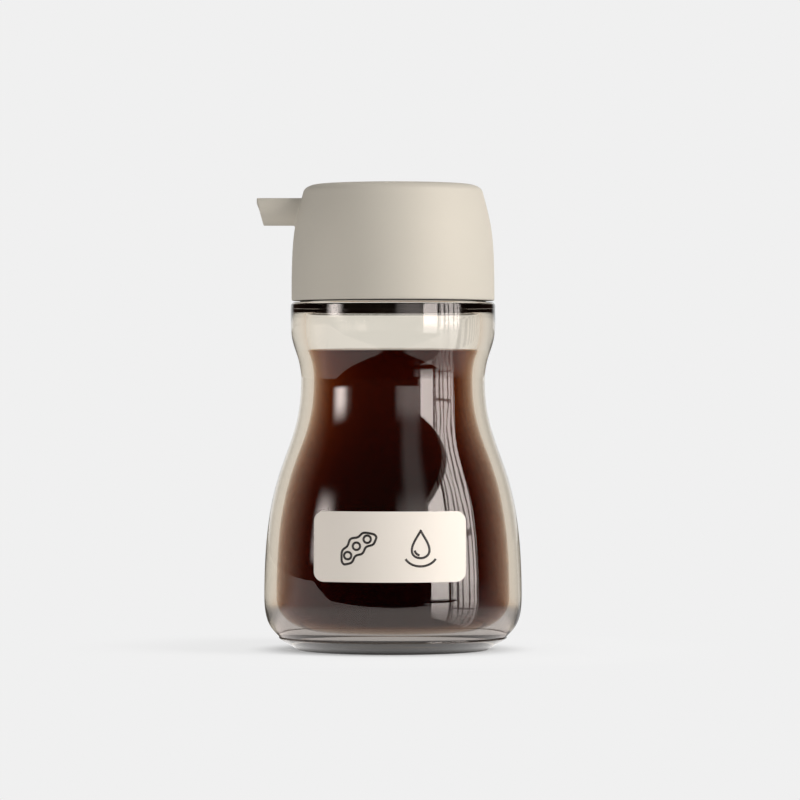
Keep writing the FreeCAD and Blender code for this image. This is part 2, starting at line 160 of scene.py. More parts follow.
class CapSizes(bpy.types.PropertyGroup):
    """The plastic cap, its spout and its air hole."""

    radius: length(22.7 * MM, "Cap radius", "Outer radius of the skirt")
    bottom: length(CAP_LOW[2], "Cap bottom", "Height of the skirt's lower edge")
    top: length(104.0 * MM, "Cap top", "Height of the flat top")
    skirt_length: length(2.2 * MM, "Skirt length", "Height of the skirt's straight part")
    skirt_rise: length(12.9 * MM, "Skirt rise", "Reach of the dome curve above that")
    dome_fall: length(1.6 * MM, "Dome fall", "How far below the top the dome turns into it")
    dome_draw: length(2.65 * MM, "Dome draw", "How far the dome has drawn in there")
    dome_drop: length(6.8 * MM, "Dome drop", "Reach of the dome curve below that turn")
    dome_lean: length(1.85 * MM, "Dome lean", "How far that reach leans outwards")
    top_draw: length(5.7 * MM, "Top draw", "How far the flat top's edge lies inside the skirt")
    skirt_edge: length(0.4 * MM, "Skirt edge", "Rounding of the skirt's lower edge")
    wall: length(1.8 * MM, "Cap wall", "Thickness of the skirt")
    top_thickness: length(2.2 * MM, "Top thickness", "Thickness of the top plate")
    ledge_width: length(2.5 * MM, "Ledge width", "Width of the ledge on the neck's rim")
    spout_radius: length(3.1 * MM, "Spout radius", "Outer radius of the spout")
    spout_bore: length(1.7 * MM, "Spout bore", "Radius of the spout's bore")
    drip_bore: length(0.9 * MM, "Drip bore", "Radius of the drip hole behind the spout's bore")
    bore_depth: length(20.4 * MM, "Bore depth", "Distance from the axis to the bore's end")
    spout_height: length(97.9 * MM, "Spout height", "Height of the spout's axis")
    spout_reach: length(-CAP_LOW[0], "Spout reach", "Distance from the axis to the tip")
    spout_slant: length(1.5 * MM, "Spout slant", "How much shorter its underside is")
    spout_fillet: length(0.45 * MM, "Spout fillet", "Rounding where the spout leaves the dome")
    spout_edge: length(0.25 * MM, "Spout edge", "Rounding of the tip's edges")
    vent_offset: length(4.7 * MM, "Vent offset", "Distance from the axis to the air hole")
    vent_radius: length(1.2 * MM, "Vent radius", "Radius of the raised ring round the air hole")
    vent_rise: length(0.2 * MM, "Vent rise", "Height of that ring")
    vent_bore: length(0.5 * MM, "Vent bore", "Radius of the air hole")
    colour: colour(shade(196, 189, 176), "Plastic", "Colour of the cap's plastic")


class LabelSizes(bpy.types.PropertyGroup):
    """The label and the marks printed on it."""

    width: length(33.3 * MM, "Label width", "Width as seen from the front")
    bottom: length(LABEL_LOW[2], "Label bottom", "Height of its lower edge")
    height: length(LABEL_HIGH[2] - LABEL_LOW[2], "Label height", "Height of the label itself")
    corner: length(2.2 * MM, "Label corner", "Radius of its corners")
    thickness: length(0.15 * MM, "Label thickness", "Thickness of the label")
    turn: bpy.props.FloatProperty(
        name="Turn", description="Turn round the bottle, towards the spout",
        default=math.radians(1.6), subtype="ANGLE")
    stroke: length(0.5 * MM, "Stroke", "Width of a printed line")
    colour: colour(shade(232, 223, 212), "Label", "Colour of the label")
    ink: colour(shade(28, 26, 25), "Ink", "Colour of the printed lines")


class StageSettings(bpy.types.PropertyGroup):
    """The camera, the floor and the light."""

    distance: length(1.0, "Distance", "From the camera to the bottle's axis")
    eye_height: length(60.0 * MM, "Eye height", "Height of the camera")
    aim_side: length(1.57 * MM, "Aim aside", "How far right of the axis the camera aims")
    aim_height: length(55.8 * MM, "Aim height", "Height that the camera aims at")
    focal: bpy.props.FloatProperty(
        name="Focal length", description="The camera's focal length, in millimetres", default=201.0)
    backdrop: colour(shade(240, 240, 240), "Backdrop", "Colour of the backdrop and floor")
    warm_backdrop: colour(
        shade(236, 232, 222), "Backdrop in glass", "Colour of the backdrop behind clear glass")
    warm_edge: colour(
        shade(222, 205, 186), "Backdrop edge in glass", "Colour of the backdrop's sides there")


GROUPS = {
    "cruet_bottle": BottleSizes,
    "cruet_sauce": SauceSizes,
    "cruet_cap": CapSizes,
    "cruet_label": LabelSizes,
    "cruet_stage": StageSettings,
}


# ---------------------------------------------------------------- outlines and surfaces

def curve(start, start_handle, end_handle, end, steps=CURVE_STEPS):
    """Points of a cubic curve after its start: each is the four given points weighted by the
    four terms of ((1 - t) + t) cubed, for t in even steps up to 1."""
    t = np.linspace(0, 1, steps + 1)[1:, None]
    weights = ((1 - t) ** 3, 3 * (1 - t) ** 2 * t, 3 * (1 - t) * t ** 2, t ** 3)
    points = (start, start_handle, end_handle, end)
    return sum(weight * np.array(point) for weight, point in zip(weights, points))


def line(start, end, steps=1):
    """Points of a straight line after its start, in even steps."""
    t = np.linspace(0, 1, steps + 1)[1:, None]
    return (1 - t) * np.array(start) + t * np.array(end)


def rounded(before, corner, after, radius, steps=EDGE_STEPS):
    """Points that round a corner between two straight sides: a curve that leaves and joins the
    sides at the distance where a circle of that radius touches them."""
    before, corner, after = (np.array(point, float) for point in (before, corner, after))
    back = (before - corner) / np.linalg.norm(before - corner)
    on = (after - corner) / np.linalg.norm(after - corner)
    half_angle = math.acos(np.clip(back @ on, -1, 1)) / 2
    distance = radius / math.tan(half_angle)
    handle = distance - 4 / 3 * math.tan((math.pi / 2 - half_angle) / 2) * radius
    first = corner + back * distance
    last = corner + on * distance
    bend = curve(first, corner + back * handle, corner + on * handle, last, steps)
    return np.vstack((first, bend))


def new_piece(name, points, faces, material, slot, *replaced):
    """A mesh piece at the origin that rides with the object and takes the given material. The slot
    is not used.
    """
    mesh = bpy.data.meshes.new(name)
    mesh.from_pydata(points.tolist(), [], faces)
    mesh.polygons.foreach_set("use_smooth", np.ones(len(mesh.polygons), bool))
    mesh.materials.append(material)
    mesh.update()
    piece = bpy.data.objects.new(name, mesh)
    bpy.context.scene.collection.objects.link(piece)
    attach(piece, "root")
    if replaced:
        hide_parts(*replaced)
    return piece


def grid_faces(rows, columns, closed_rows, closed_columns):
    """Quads of a grid of points, joined end to end along either side where it closes."""
    down = np.arange(rows if closed_rows else rows - 1)[:, None]
    across = np.arange(columns if closed_columns else columns - 1)[None, :]
    next_down, next_across = (down + 1) % rows, (across + 1) % columns
    corners = (down * columns + across, down * columns + next_across,
               next_down * columns + next_across, next_down * columns + across)
    return np.stack(corners, axis=-1).reshape(-1, 4)


def capped(rings, poles, turns):
    """Points and faces of rings joined one after another, with a fan round a point at each end."""
    start = np.arange(turns)
    following = (start + 1) % turns
    low, high = start * 0 + len(rings), start * 0 + len(rings) + 1
    last_ring = len(rings) - turns
    first = np.stack((low, following, start), axis=-1)
    last = np.stack((high, last_ring + start, last_ring + following), axis=-1)
    faces = grid_faces(len(rings) // turns, turns, False, True)
    return np.vstack((rings, poles)), faces.tolist() + first.tolist() + last.tolist()


def turned(outline, turns=TURNS):
    """Points and faces of an outline turned round the Z axis. The outline runs from one point on
    the axis to another, anticlockwise as seen with the radius to the right: point (r, z) goes to
    (r cos a, r sin a, z), and each end is one point on the axis with a fan round it."""
    angle = np.linspace(0, 2 * np.pi, turns, endpoint=False)
    body = outline[1:-1]
    radius, height = body[:, :1], body[:, 1:]
    rings = np.stack((radius * np.cos(angle), radius * np.sin(angle),
                      height + 0 * angle), axis=-1).reshape(-1, 3)
    poles = np.array([(0, 0, outline[0, 1]), (0, 0, outline[-1, 1])])
    return capped(rings, poles, turns)


# ---------------------------------------------------------------- node graphs

class Socket:
    """An output of a node, on which Python's arithmetic adds Math nodes."""

    def __init__(self, graph, output):
        self.graph = graph
        self.output = output

    def maths(self, operation, *values):
        node = self.graph.node("ShaderNodeMath", {"operation": operation},
                               dict(enumerate(values)))
        return Socket(self.graph, node.outputs[0])

    def __add__(self, other):
        return self.maths("ADD", self, other)

    def __sub__(self, other):
        return self.maths("SUBTRACT", self, other)

    def __rsub__(self, other):
        return self.maths("SUBTRACT", other, self)

    def __mul__(self, other):
        return self.maths("MULTIPLY", self, other)

    def __truediv__(self, other):
        return self.maths("DIVIDE", self, other)

    __radd__ = __add__
    __rmul__ = __mul__


class Graph:
    """The nodes of one material or of the world."""

    def __init__(self, owner):
        owner.use_nodes = True
        self.tree = owner.node_tree
        self.tree.nodes.clear()

    def node(self, kind, settings=None, sockets=None):
        """A node of this kind with its settings, then its sockets' values or links."""
        node = self.tree.nodes.new(kind)
        for name, value in (settings or {}).items():
            setattr(node, name, value)
        for name, value in (sockets or {}).items():
            if isinstance(value, Socket):
                self.tree.links.new(value.output, node.inputs[name])
            else:
                node.inputs[name].default_value = value
        return node

    def out(self, node, name=0):
        return Socket(self, node.outputs[name])

    def mix(self, factor, first, second):
        """A colour between two colours."""
        node = self.node("ShaderNodeMix", {"data_type": "RGBA"}, {0: factor, 6: first, 7: second})
        return self.out(node, 2)

    def place(self, scale=(1.0, 1.0, 1.0)):
        """Object coordinates, stretched by scale."""
        where = self.out(self.node("ShaderNodeTexCoord"), "Object")
        return self.out(self.node("ShaderNodeMapping", sockets={"Vector": where, "Scale": scale}))

    def noise(self, scale, detail=3.0, roughness=0.5, vector=None):
        """Soft cloudy noise from 0 to 1, with so many features in a metre."""
        sockets = {"Vector": vector or self.place(), "Scale": scale, "Detail": detail,
                   "Roughness": roughness}
        return self.out(self.node("ShaderNodeTexNoise", sockets=sockets), "Fac")

    def bump(self, height, distance, strength=1.0):
        """A bump whose height from 0 to 1 stands for this distance."""
        sockets = {"Height": height, "Distance": distance, "Strength": strength}
        return self.out(self.node("ShaderNodeBump", sockets=sockets))

    def finish(self, surface, volume=None, kind="ShaderNodeOutputMaterial"):
        """The graph's output."""
        output = self.node(kind)
        self.tree.links.new(surface.outputs[0], output.inputs["Surface"])
        if volume:
            self.tree.links.new(volume.outputs[0], output.inputs["Volume"])


MOULD_WAVES = 55.0     # features in a metre: waves of the glass, and the cap's clouds and grain
FLOW_CLOUDS = 60.0
SPARK_GRAIN = 5200.0
PAPER_FIBRE = 2600.0   # features in a metre: fibre of the label, and cover of its ink
INK_COVER = 3000.0


def rgba(value):
    """A colour with full opacity."""
    return (*tuple(value)[:3], 1.0)


def new_material(name):
    """An empty material and its graph."""
    material = bpy.data.materials.new(name)
    return material, Graph(material)


def clear_glass(settings):
    """Clear pressed glass: smooth, with the faint long waves of glass shaped in a mould."""
    material, graph = new_material("clear_glass")
    waves = graph.noise(MOULD_WAVES, detail=1.0)
    surface = graph.node("ShaderNodeBsdfPrincipled", sockets={
        "Base Color": (1.0, 1.0, 1.0, 1.0), "Roughness": 0.0, "IOR": 1.5,
        "Transmission Weight": 1.0, "Normal": graph.bump(waves, 0.05 * MM)})
    volume = graph.node("ShaderNodeVolumeAbsorption", sockets={
        "Color": rgba(settings.colour), "Density": settings.density})
    graph.finish(surface, volume)
    return material


def dark_sauce(settings):
    """Soy sauce: a clear liquid that is amber where it is thin and near black where it is deep."""
    material, graph = new_material("soy_sauce")
    surface = graph.node("ShaderNodeBsdfPrincipled", sockets={
        "Base Color": (1.0, 1.0, 1.0, 1.0), "Roughness": 0.0, "IOR": 1.02,
        "Transmission Weight": 1.0})
    volume = graph.node("ShaderNodeVolumeAbsorption", sockets={
        "Color": rgba(settings.colour), "Density": settings.density})
    graph.finish(surface, volume)
    return material


def cap_plastic(settings):
    """Matte moulded plastic: an even colour with a fine spark-eroded grain and faint flow clouds.
    The hollow inside the skirt, below the neck's rim, is painted dark as shade."""
    material, graph = new_material("cap_plastic")
    clouds = graph.noise(FLOW_CLOUDS, detail=2.0)
    grain = graph.noise(SPARK_GRAIN, detail=2.0, roughness=0.6)
    base = np.array(settings.colour[:])
    tone = graph.mix(clouds, rgba(base * 0.975), rgba(np.minimum(base * 1.02, 1)))
    split = graph.node("ShaderNodeSeparateXYZ", sockets={0: graph.place()})
    x, y, z = (graph.out(split, n) for n in range(3))
    outward = x.maths("SQRT", x * x + y * y)
    hollow, rim = settings.radius - settings.wall, BOTTLE_HIGH[2]
    # Painted shade: the plastic's colour is darkened in the hollow inside the skirt, below the
    # neck's rim.
    inside = (smooth(graph, outward, hollow + 0.3 * MM, hollow - 0.1 * MM)
              * smooth(graph, z, rim - 0.1 * MM, rim - 0.9 * MM))
    painted_shade = 0.12
    tone = graph.mix(inside, tone, rgba(base * painted_shade))
    surface = graph.node("ShaderNodeBsdfPrincipled", sockets={
        "Base Color": tone, "Roughness": 0.50 + 0.10 * grain, "IOR": 1.46,
        "Normal": graph.bump(grain, 0.012 * MM, 0.6)})
    graph.finish(surface)
    return material


def label_paper(settings):
    """A smooth coated label: cream, with a faint fibre and a soft sheen."""
    material, graph = new_material("label_paper")
    fibre = graph.noise(PAPER_FIBRE, detail=4.0, vector=graph.place((1.0, 1.0, 3.0)))
    base = np.array(settings.colour[:])
    tone = graph.mix(fibre, rgba(base * 0.985), rgba(np.minimum(base * 1.01, 1)))
    surface = graph.node("ShaderNodeBsdfPrincipled", sockets={
        "Base Color": tone, "Roughness": 0.42 + 0.1 * fibre, "IOR": 1.45,
        "Normal": graph.bump(fibre, 0.006 * MM, 0.5)})
    graph.finish(surface)
    return material


def black_ink(settings):
    """Printed ink: near black, with a slightly uneven sheen."""
    material, graph = new_material("black_ink")
    cover = graph.noise(INK_COVER, detail=2.0)
    base = np.array(settings.ink[:])
    tone = graph.mix(cover, rgba(base * 0.8), rgba(base * 1.25))
    surface = graph.node("ShaderNodeBsdfPrincipled", sockets={
        "Base Color": tone, "Roughness": 0.38 + 0.12 * cover})
    graph.finish(surface)
    return material


# ---------------------------------------------------------------- the bottle and the sauce

def side_curves(sizes, inset=0.0):
    """The belly's and collar's curves from the widest radius up, moved inwards by inset."""
    belly, waist, collar = (radius - inset for radius in (
        sizes.belly_radius, sizes.waist_radius, sizes.collar_radius))
    widest, narrowest = (belly, sizes.belly_height), (waist, sizes.waist_height)
    straight = (collar, sizes.collar_height)
    return np.vstack((
        curve(widest, (belly, sizes.belly_height + sizes.belly_rise),
              (waist, sizes.waist_height - sizes.waist_drop), narrowest),
        curve(narrowest, (waist, sizes.waist_height + sizes.waist_rise),
              (collar, sizes.collar_height - sizes.collar_drop), straight),
    ))


def outside_outline(sizes):
    """The glass's outside from the foot's middle to the straight collar."""
    foot, heel = (sizes.foot_radius, 0.0), (sizes.heel_radius, sizes.heel_height)
    step_top = (sizes.heel_radius, sizes.heel_height + sizes.heel_step)
    widest = (sizes.belly_radius, sizes.belly_height)
    return np.vstack((
        [(0.0, 0.0)],
        line((0.0, 0.0), (sizes.foot_radius * 0.9, 0.0), 6),
        rounded((0.0, 0.0), foot, heel, sizes.foot_edge),
        rounded(foot, heel, step_top, STEP_FOOT_EDGE, 4),
        rounded(heel, step_top, (sizes.belly_radius, 2 * sizes.belly_height),
                STEP_HEAD_EDGE, 3),
        curve(step_top, np.array(step_top) + sizes.heel_reach,
              (sizes.belly_radius, sizes.belly_height - sizes.belly_drop), widest),
        side_curves(sizes),
    ))


def cavity_outline(sizes, inset):
    """The cavity from its floor's middle up to the straight part of the collar. A negative inset
    makes it larger than the cavity, into the glass."""
    floor = sizes.floor_height + inset
    wide = sizes.belly_radius - sizes.wall - inset
    flat = (sizes.floor_radius, floor)
    return np.vstack((
        [(0.0, floor)],
        line((0.0, floor), flat, 8),
        curve(flat, (sizes.floor_radius + sizes.floor_reach, floor),
              (wide, sizes.belly_height - sizes.belly_drop), (wide, sizes.belly_height)),
        side_curves(sizes, sizes.wall + inset),
    ))


def bottle_outline(sizes):
    """The whole section of the glass: up its outside, over the neck's rim and down the inside."""
    collar, neck = sizes.collar_radius, sizes.neck_radius
    bore = neck - sizes.neck_wall
    inner = collar - sizes.wall
    shoulder, rim = sizes.shoulder_height, sizes.neck_rim
    ceiling, throat = sizes.ceiling_height, sizes.throat_height
    return np.vstack((
        outside_outline(sizes),
        rounded((collar, 0.0), (collar, shoulder), (neck, shoulder), sizes.shoulder_edge),
        rounded((collar, shoulder), (neck, shoulder), (neck, rim), NECK_ROOT, 3),
        rounded((neck, shoulder), (neck, rim), (bore, rim), sizes.lip_edge),
        rounded((neck, rim), (bore, rim), (bore, ceiling), BORE_EDGE, 4),
        [(bore, throat)],
        curve((bore, throat), (bore + THROAT_LEAN, throat - sizes.throat_drop),
              (inner - THROAT_DRAW, ceiling + sizes.throat_rise), (inner, ceiling)),
        cavity_outline(sizes, 0.0)[::-1],
    ))


def sauce_outline(bottle, sauce):
    """The sauce: the cavity grown a little into the glass, cut at the level, with a surface that
    climbs the glass at its edge as the exponential of minus the distance from it."""
    cavity = cavity_outline(bottle, -sauce.into_wall)
    top = sauce.level + sauce.meniscus
    side = cavity[cavity[:, 1] < top - 0.1 * MM]
    edge = np.interp(top, cavity[:, 1], cavity[:, 0])
    distance = np.geomspace(0.02 * MM, edge, 24)[:-1]
    climb = sauce.meniscus * np.exp(-distance / CLIMB_WIDTH)
    surface = np.column_stack((edge - distance, sauce.level + climb))
    return np.vstack((side, [(edge, top)], surface, [(0.0, sauce.level)]))


# ---------------------------------------------------------------- the cap

def cap_rings(sizes):
    """The cap's section as rings (radius, height, centre). It runs up the skirt and over the dome.
    On the top plate the rings' centre slides to the air hole, goes through it, and slides back
    under the plate; then it runs down the inside to the skirt's lower edge again."""
    inside = sizes.radius - sizes.wall
    chamber = inside - sizes.ledge_width
    rim = BOTTLE_HIGH[2]
    under = sizes.top - sizes.top_thickness
    dome = (sizes.radius - sizes.dome_draw, sizes.top - sizes.dome_fall)
    flat = (sizes.radius - sizes.top_draw, sizes.top)
    straight = (sizes.radius, sizes.bottom + sizes.skirt_length)
    rise = sizes.dome_fall * DOME_TURN
    lean = sizes.dome_lean / sizes.dome_drop
    outside = np.vstack((
        rounded((inside, sizes.bottom), (sizes.radius, sizes.bottom), straight, sizes.skirt_edge),
        [straight],
        curve(straight, (sizes.radius, straight[1] + sizes.skirt_rise),
              (dome[0] + sizes.dome_lean, dome[1] - sizes.dome_drop), dome),
        curve(dome, (dome[0] - lean * rise, dome[1] + rise),
              (flat[0] + (dome[0] - flat[0]) * TOP_REACH, sizes.top), flat, 16),
    ))
    slide = np.linspace(0, 1, 12)[1:]
    reach = flat[0] + (sizes.vent_radius + RING_GAP - flat[0]) * slide
    top = np.column_stack((reach, 0 * slide + sizes.top, -sizes.vent_offset * slide))
    ring = sizes.top + sizes.vent_rise
    vent = np.vstack((
        rounded((sizes.radius, sizes.top), (sizes.vent_radius, sizes.top),
                (sizes.vent_radius, ring), VENT_FOOT, 3),
        rounded((sizes.vent_radius, sizes.top), (sizes.vent_radius, ring),
                (0.0, ring), VENT_EDGE, 4),
        rounded((sizes.vent_radius, ring), (sizes.vent_bore, ring),
                (sizes.vent_bore, sizes.top), VENT_EDGE, 4),
        line((sizes.vent_bore, sizes.top), (sizes.vent_bore, under + 2 * RING_GAP), 3),
        [(sizes.vent_bore, under)],
    ))
    back = np.linspace(1, 0, 12)[1:]
    edge_reach = chamber - PLATE_EDGE - RING_GAP
    under_reach = edge_reach + (sizes.vent_bore + 2 * RING_GAP - chamber) * back
    plate = np.column_stack((under_reach, 0 * back + under, -sizes.vent_offset * back))
    inner = np.vstack((
        rounded((0.0, under), (chamber, under), (chamber, rim), PLATE_EDGE, 4),
        rounded((chamber, under), (chamber, rim), (inside, rim), LEDGE_EDGE, 3),
        rounded((chamber, rim), (inside, rim), (inside, sizes.bottom), LEDGE_CORNER, 3),
        rounded((inside, rim), (inside, sizes.bottom), (sizes.radius, sizes.bottom),
                sizes.skirt_edge, 4),
    ))

    def centred(section, centre):
        return np.column_stack((section, np.full(len(section), centre)))

    return np.vstack((centred(outside, 0.0), top, centred(vent, -sizes.vent_offset), plate,
                      centred(inner, 0.0)))


def ringed(rings, turns=TURNS):
    """Points and faces of rings (radius, height, centre) joined one after another and back to the
    first: ring point at angle a is (centre + r cos a, r sin a, z)."""
    angle = np.linspace(0, 2 * np.pi, turns, endpoint=False)
    radius, height, centre = (rings[:, n:n + 1] for n in range(3))
    points = np.stack((centre + radius * np.cos(angle), radius * np.sin(angle),
                       height + 0 * angle), axis=-1)
    return points.reshape(-1, 3), grid_faces(len(rings), turns, True, True).tolist()


def dome_radius_at(rings, height):
    """The dome's outer radius at a height."""
    widest = rings[:, 0].max()
    outer = rings[(rings[:, 2] == 0) & (rings[:, 0] > widest - 6 * MM)]
    outer = outer[np.argsort(outer[:, 1])]
    return np.interp(height, outer[:, 1], outer[:, 0])


def spout_surface(sizes, rings, turns=72):
    """The spout as rings round its own axis, joined end to end. Ring point at angle b is
    (x, r cos b, z + r sin b). It leaves the dome where x is minus the root of R squared less y
    squared, R being the dome's radius at that height, and its slanted tip is where x grows from
    the top to the underside with (1 - sin b) / 2. The bore runs back inside it."""
    b = np.linspace(0, 2 * np.pi, turns, endpoint=False)[None, :]
    slant = sizes.spout_slant * (1 - np.sin(b)) / 2
    turn = np.linspace(0, np.pi / 2, 7)[:, None]
    fillet, edge = sizes.spout_fillet, sizes.spout_edge

    def on_dome(radius, sunk):
        height = sizes.spout_height + radius * np.sin(b)
        dome = dome_radius_at(rings, height)
        return -np.sqrt(dome ** 2 - (radius * np.cos(b)) ** 2) + sunk

    root_radius = sizes.spout_radius + fillet * (1 - np.sin(turn))
    root = on_dome(root_radius, 0) - fillet * (1 - np.cos(turn))
    buried_radius = sizes.spout_radius + fillet + 0 * b
    buried = on_dome(buried_radius, SPOUT_SUNK)
    tip = -sizes.spout_reach + slant
    outer_x = tip + edge * (1 - np.sin(turn))
    outer_radius = sizes.spout_radius - edge * (1 - np.cos(turn))
    inner_x = tip + edge * (1 - np.cos(turn))
    inner_radius = sizes.spout_bore + edge * (1 - np.sin(turn))
    length_steps = np.linspace(0, 1, 12)[1:-1, None]
    shaft = root[-1:] + (outer_x[:1] - root[-1:]) * length_steps
    bore_steps = np.linspace(0, 1, 14)[1:, None]
    bore = inner_x[-1:] + (-sizes.bore_depth - inner_x[-1:]) * bore_steps
    end = np.full((1, turns), -sizes.bore_depth)
    parts = (
        (buried, buried_radius),
        (root, root_radius + 0 * b),
        (shaft, sizes.spout_radius + 0 * shaft),
        (outer_x, outer_radius + 0 * b),
        (inner_x, inner_radius + 0 * b),
        (bore, sizes.spout_bore + 0 * bore),
        (end, np.full((1, turns), sizes.spout_bore + SPOUT_END_WALL)),
    )
    x = np.vstack([part[0] for part in parts])
    radius = np.vstack([part[1] for part in parts])
    points = np.stack((x, radius * np.cos(b), sizes.spout_height + radius * np.sin(b)), axis=-1)
    faces = grid_faces(len(x), turns, True, True)[:, ::-1]
    return points.reshape(-1, 3), faces.tolist()


def drill_surface(sizes, turns=48):
    """The drill for the spout's bore: a wide cylinder that ends in the drip hole's narrow one, as
    rings round the spout's axis with a point at either end."""
    b = np.linspace(0, 2 * np.pi, turns, endpoint=False)[None, :]
    wide, narrow = sizes.spout_bore + DRILL_PLAY, sizes.drip_bore
    step = -sizes.bore_depth - 0.1 * MM
    x = np.array((-DRILL_START, step, step, -DRILL_END))[:, None]
    radius = np.array((wide, wide, narrow, narrow))[:, None]
    points = np.stack((x + 0 * b, radius * np.cos(b), sizes.spout_height + radius * np.sin(b)),
                      axis=-1).reshape(-1, 3)
    ends = [(x[0, 0], 0, sizes.spout_height), (x[-1, 0], 0, sizes.spout_height)]
    return capped(points, ends, turns)


def bored(piece, points, faces):
    """Cut the shape of a drill out of a piece for good, so that the drill can go."""
    drill_mesh = bpy.data.meshes.new("drill")
    drill_mesh.from_pydata(points.tolist(), [], faces)
    drill_mesh.polygons.foreach_set("use_smooth", np.ones(len(drill_mesh.polygons), bool))
    drill = bpy.data.objects.new("drill", drill_mesh)
    bpy.context.scene.collection.objects.link(drill)
    cut = piece.modifiers.new("bore", "BOOLEAN")
    cut.operation = "DIFFERENCE"
    cut.solver = "EXACT"
    cut.object = drill
    shaped = piece.evaluated_get(bpy.context.evaluated_depsgraph_get())
    whole_mesh = piece.data
    cut_mesh = bpy.data.meshes.new_from_object(shaped)
    piece.modifiers.clear()
    piece.data = cut_mesh
    bpy.data.objects.remove(drill)
    bpy.data.meshes.remove(drill_mesh)
    bpy.data.meshes.remove(whole_mesh)


# ---------------------------------------------------------------- the label

MARK_ASIDE = 6.85 * MM    # from the label's middle to the middle of either mark
MARK_DROP = 0.2 * MM      # how far the marks lie below the label's middle
POD_LEAN = 40             # lean of the pod, in degrees
POD_RIPPLE = 0.16         # height of the waves along the pod, as a part of its half thickness
POD_BEND = 0.10           # how far the pod bends, as a part of its span
DROP_SCALE = 1.18
BEAN_RADIUS = 0.8 * MM
BEAN_PLACES = ((-2.8 * MM, 0.13 * MM), (0.0, 0.47 * MM), (2.8 * MM, 0.13 * MM))


def label_place(bottle, label, x, z, proud):
    """Points at (x, z) on the label's plan, wrapped on the glass: y is minus the root of
    (R + proud) squared less x squared, R being the glass's radius at height z. Then all turn
    about the axis by the label's own angle."""
    outline = outside_outline(bottle)
    radius = np.interp(z, outline[:, 1], outline[:, 0]) + proud
    y = -np.sqrt(radius ** 2 - x ** 2)
    cosine, sine = math.cos(-label.turn), math.sin(-label.turn)
    return np.stack((x * cosine - y * sine, x * sine + y * cosine, z + 0 * x), axis=-1)


def label_surface(bottle, label, rows=48, columns=72):
    """The label: rows of height v, each from minus to plus its half width, which is drawn in at
    the corners by c less the root of (c squared less the height into the corner squared)."""
    rise = (1 - np.cos(np.linspace(0, np.pi, rows))) / 2 * label.height
    into = np.maximum(label.corner - np.minimum(rise, label.height - rise), 0)
    half = label.width / 2 - label.corner + np.sqrt(label.corner ** 2 - into ** 2)
    even = np.linspace(-1, 1, columns)
    across = 0.8 * even + 0.2 * np.sin(even * np.pi / 2)
    x = half[:, None] * across[None, :]
    z = (label.bottom + rise)[:, None] + 0 * x
    outer = label_place(bottle, label, x, z, label.thickness)
    inner = label_place(bottle, label, x, z, -LABEL_SUNK)[:, ::-1]
    loops = np.concatenate((outer, inner), axis=1)
    count = 2 * columns
    faces = grid_faces(rows, count, False, True).tolist()
    first = np.arange(columns - 1)
    last = (rows - 1) * count
    low = np.stack((first, count - 1 - first, count - 2 - first, first + 1), axis=-1)
    high = np.stack((first + 1, count - 2 - first, count - 1 - first, first), axis=-1) + last
    return loops.reshape(-1, 3), faces + low.tolist() + high.tolist()


def stroke_surface(bottle, label, path, closed):
    """A printed line: a flat ribbon of the stroke's width along a path of (x, z) points, wrapped
    on the label and a hair proud of it, with its edges sunk in."""
    if closed:
        before, following = np.roll(path, 1, axis=0), np.roll(path, -1, axis=0)
    else:
        before = np.vstack((2 * path[0] - path[1], path[:-1]))
        following = np.vstack((path[1:], 2 * path[-1] - path[-2]))
    along = following - before
    along /= np.linalg.norm(along, axis=1, keepdims=True)
    side = np.column_stack((-along[:, 1], along[:, 0])) * label.stroke / 2
    proud = label.thickness + LINE_PROUD
    sunk = label.thickness - LINE_SUNK
    corners = [label_place(bottle, label, *(path + side * way).T, high)
               for way, high in ((-1, sunk), (-1, proud), (1, proud), (1, sunk))]
    points = np.stack(corners, axis=1)
    faces = grid_faces(len(path), 4, closed, True)[:, ::-1].tolist()
    if not closed:
        last = 4 * (len(path) - 1)
        faces += [[0, 1, 2, 3], [last + 3, last + 2, last + 1, last]]
    return points.reshape(-1, 3), faces


def drop_path(centre, width, height, steps=72):
    """A drop: x is half the width times sin t times the root of sin(t / 2) cubed, scaled so that
    its widest part has that width, and z falls with cos t from a pointed top to a round foot."""
    t = np.linspace(0, 2 * np.pi, steps, endpoint=False)
    x = width / 2 * np.sin(t) * np.abs(np.sin(t / 2)) ** 1.5 * DROP_SCALE
    return np.column_stack((centre[0] + x, centre[1] + height / 2 * np.cos(t)))


def arc_path(centre, radius_x, radius_z, start, end, steps=32):
    """Part of an ellipse: cosine and sine of an angle that goes from one value to another, in
    degrees, times its two radii."""
    t = np.radians(np.linspace(start, end, steps))
    return np.column_stack((centre[0] + radius_x * np.cos(t), centre[1] + radius_z * np.sin(t)))


def pod_path(centre, span, thick, lean, steps=96):
    """A pod of three beans: the half thickness is a root of sine to close its ends, times one
    plus a ripple of three waves. The pod bends a little and leans by an angle."""
    t = np.linspace(0, 2 * np.pi, steps, endpoint=False)
    along = np.cos(t)
    ripple = 1 + POD_RIPPLE * np.cos(3 * np.pi * along)
    across = thick / 2 * np.sign(np.sin(t)) * np.abs(np.sin(t)) ** 0.8 * ripple
    bend = POD_BEND * span * (0.5 - along ** 2)
    x, z = span / 2 * along, across + bend
    cosine, sine = math.cos(math.radians(lean)), math.sin(math.radians(lean))
    return np.column_stack((centre[0] + x * cosine - z * sine, centre[1] + x * sine + z * cosine))


# ---------------------------------------------------------------- the stage

